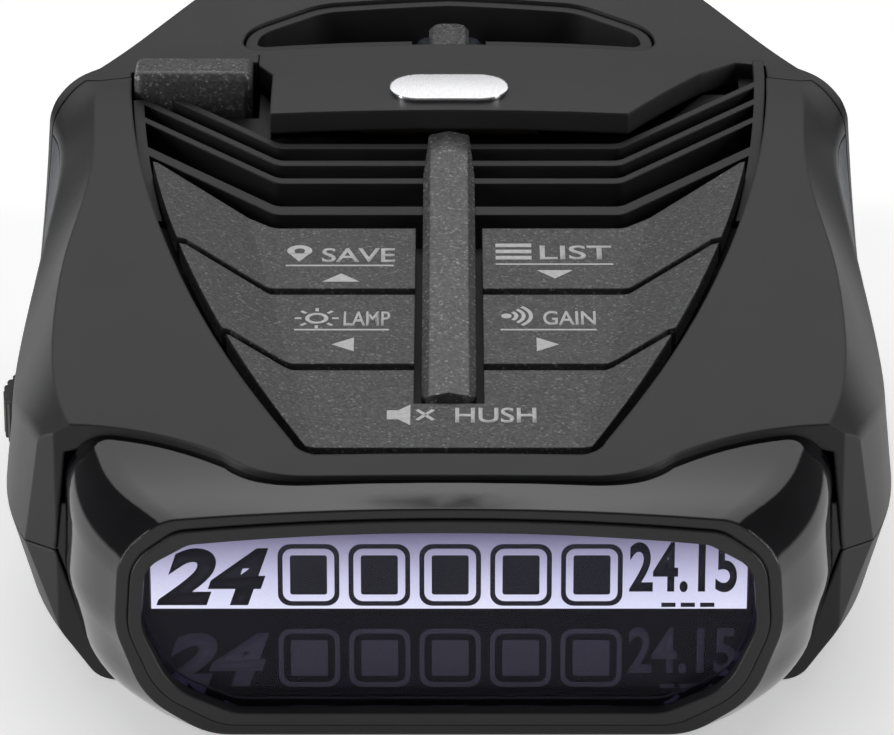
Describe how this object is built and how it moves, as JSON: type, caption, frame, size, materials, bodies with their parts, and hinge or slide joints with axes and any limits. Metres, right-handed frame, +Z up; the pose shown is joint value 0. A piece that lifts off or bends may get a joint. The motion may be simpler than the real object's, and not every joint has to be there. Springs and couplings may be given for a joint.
{
  "type": "windscreen radar and laser detector",
  "caption": "Windscreen radar and laser detector with a lit display under a glossy hood, a sunken key panel, a speaker louvre, a volume wheel and a release button.",
  "frame": {"origin": "on the surface the case rests on, under the middle of its length and width", "axes": "+Y from the display towards the road, +X to the right of someone looking at the display, +Z up"},
  "size_m": [0.0736, 0.104, 0.0324],
  "materials": {
    "soft_black": "soft touch",
    "piano_black": "polished",
    "ring_grey": "satin",
    "display_glass": "polished",
    "lcd": "backlit",
    "frame_plastic": "matt",
    "circuit_board": "solder mask",
    "key_grey": "metallic paint grain",
    "switch_black": "matt",
    "rail_grey": "metallic paint grain",
    "louvre_black": "matt",
    "cloth": "woven",
    "speaker_steel": "plated",
    "cone_paper": "paper",
    "foam": "foam",
    "wheel_rubber": "knurled",
    "spring_steel": "plain",
    "chip_black": "matt",
    "insert_gloss": "polished",
    "lens_glass": "polished",
    "ceramic": "ceramic",
    "copper": "lacquered",
    "satin_chrome": "satin",
    "label_silver": "printed foil without text"
  },
  "bodies": {
    "case": {"badge": "satin_chrome", "bezel_ring": "ring_grey", "board_screws": "spring_steel", "capacitors": "chip_black", "case_screws": "spring_steel", "centre_rail": "rail_grey", "display_board": "circuit_board", "display_hood": "piano_black", "display_ribbon": "copper", "display_window": "display_glass", "front_window": "insert_gloss", "gps_antenna": "ceramic", "horn_antenna": "speaker_steel", "key_board": "circuit_board", "key_switches": "switch_black", "laser_lens": "lens_glass", "laser_sensor": "chip_black", "lcd_frame": "frame_plastic", "lcd_panel": "lcd", "lower_case": "soft_black", "main_board": "circuit_board", "mixer_board": "circuit_board", "nose_cover": "soft_black", "power_jack": "chip_black", "processor_chip": "chip_black", "rating_plate": "label_silver", "rear_eye_cap": "rail_grey", "rear_eye_lens": "insert_gloss", "release_spring": "spring_steel", "scoop_tray": "louvre_black", "shield_can": "speaker_steel", "side_insert_left": "insert_gloss", "side_insert_right": "insert_gloss", "speaker_basket": "speaker_steel", "speaker_cloth": "cloth", "speaker_cone": "cone_paper", "speaker_louvre": "louvre_black", "speaker_magnet": "speaker_steel", "speaker_pad": "foam", "speaker_wires": "copper", "upper_case": "soft_black", "usb_port": "speaker_steel", "volume_pot": "frame_plastic"},
    "key_up": {"key_up": "key_grey"},
    "key_down": {"key_down": "key_grey"},
    "key_left": {"key_left": "key_grey"},
    "key_right": {"key_right": "key_grey"},
    "key_mute": {"key_mute": "key_grey"},
    "volume_wheel": {"volume_wheel": "wheel_rubber"},
    "release_button": {"release_button": "rail_grey"}
  },
  "joints": [
    {"name": "up_press", "type": "slide", "parent": "case", "child": "key_up", "axis": [0, 0.0995, -0.995], "range_m": [0, 0.0005], "stiffness_N_per_m": 700, "springref_m": -0.0004},
    {"name": "down_press", "type": "slide", "parent": "case", "child": "key_down", "axis": [0, 0.0995, -0.995], "range_m": [0, 0.0005], "stiffness_N_per_m": 700, "springref_m": -0.0004},
    {"name": "left_press", "type": "slide", "parent": "case", "child": "key_left", "axis": [0, 0.0995, -0.995], "range_m": [0, 0.0005], "stiffness_N_per_m": 700, "springref_m": -0.0004},
    {"name": "right_press", "type": "slide", "parent": "case", "child": "key_right", "axis": [0, 0.0995, -0.995], "range_m": [0, 0.0005], "stiffness_N_per_m": 700, "springref_m": -0.0004},
    {"name": "mute_press", "type": "slide", "parent": "case", "child": "key_mute", "axis": [0, 0.0995, -0.995], "range_m": [0, 0.0005], "stiffness_N_per_m": 700, "springref_m": -0.0004},
    {"name": "volume_turn", "type": "hinge", "parent": "case", "child": "volume_wheel", "pos_m": [-0.0286, -0.0165, 0.0142], "axis": [0, 0, 1], "range_deg": [-140, 140]},
    {"name": "release_press", "type": "slide", "parent": "case", "child": "release_button", "axis": [0, 0, -1], "range_m": [0, 0.0012], "stiffness_N_per_m": 900, "springref_m": -0.0008, "deforming": ["release_spring"]}
  ]
}
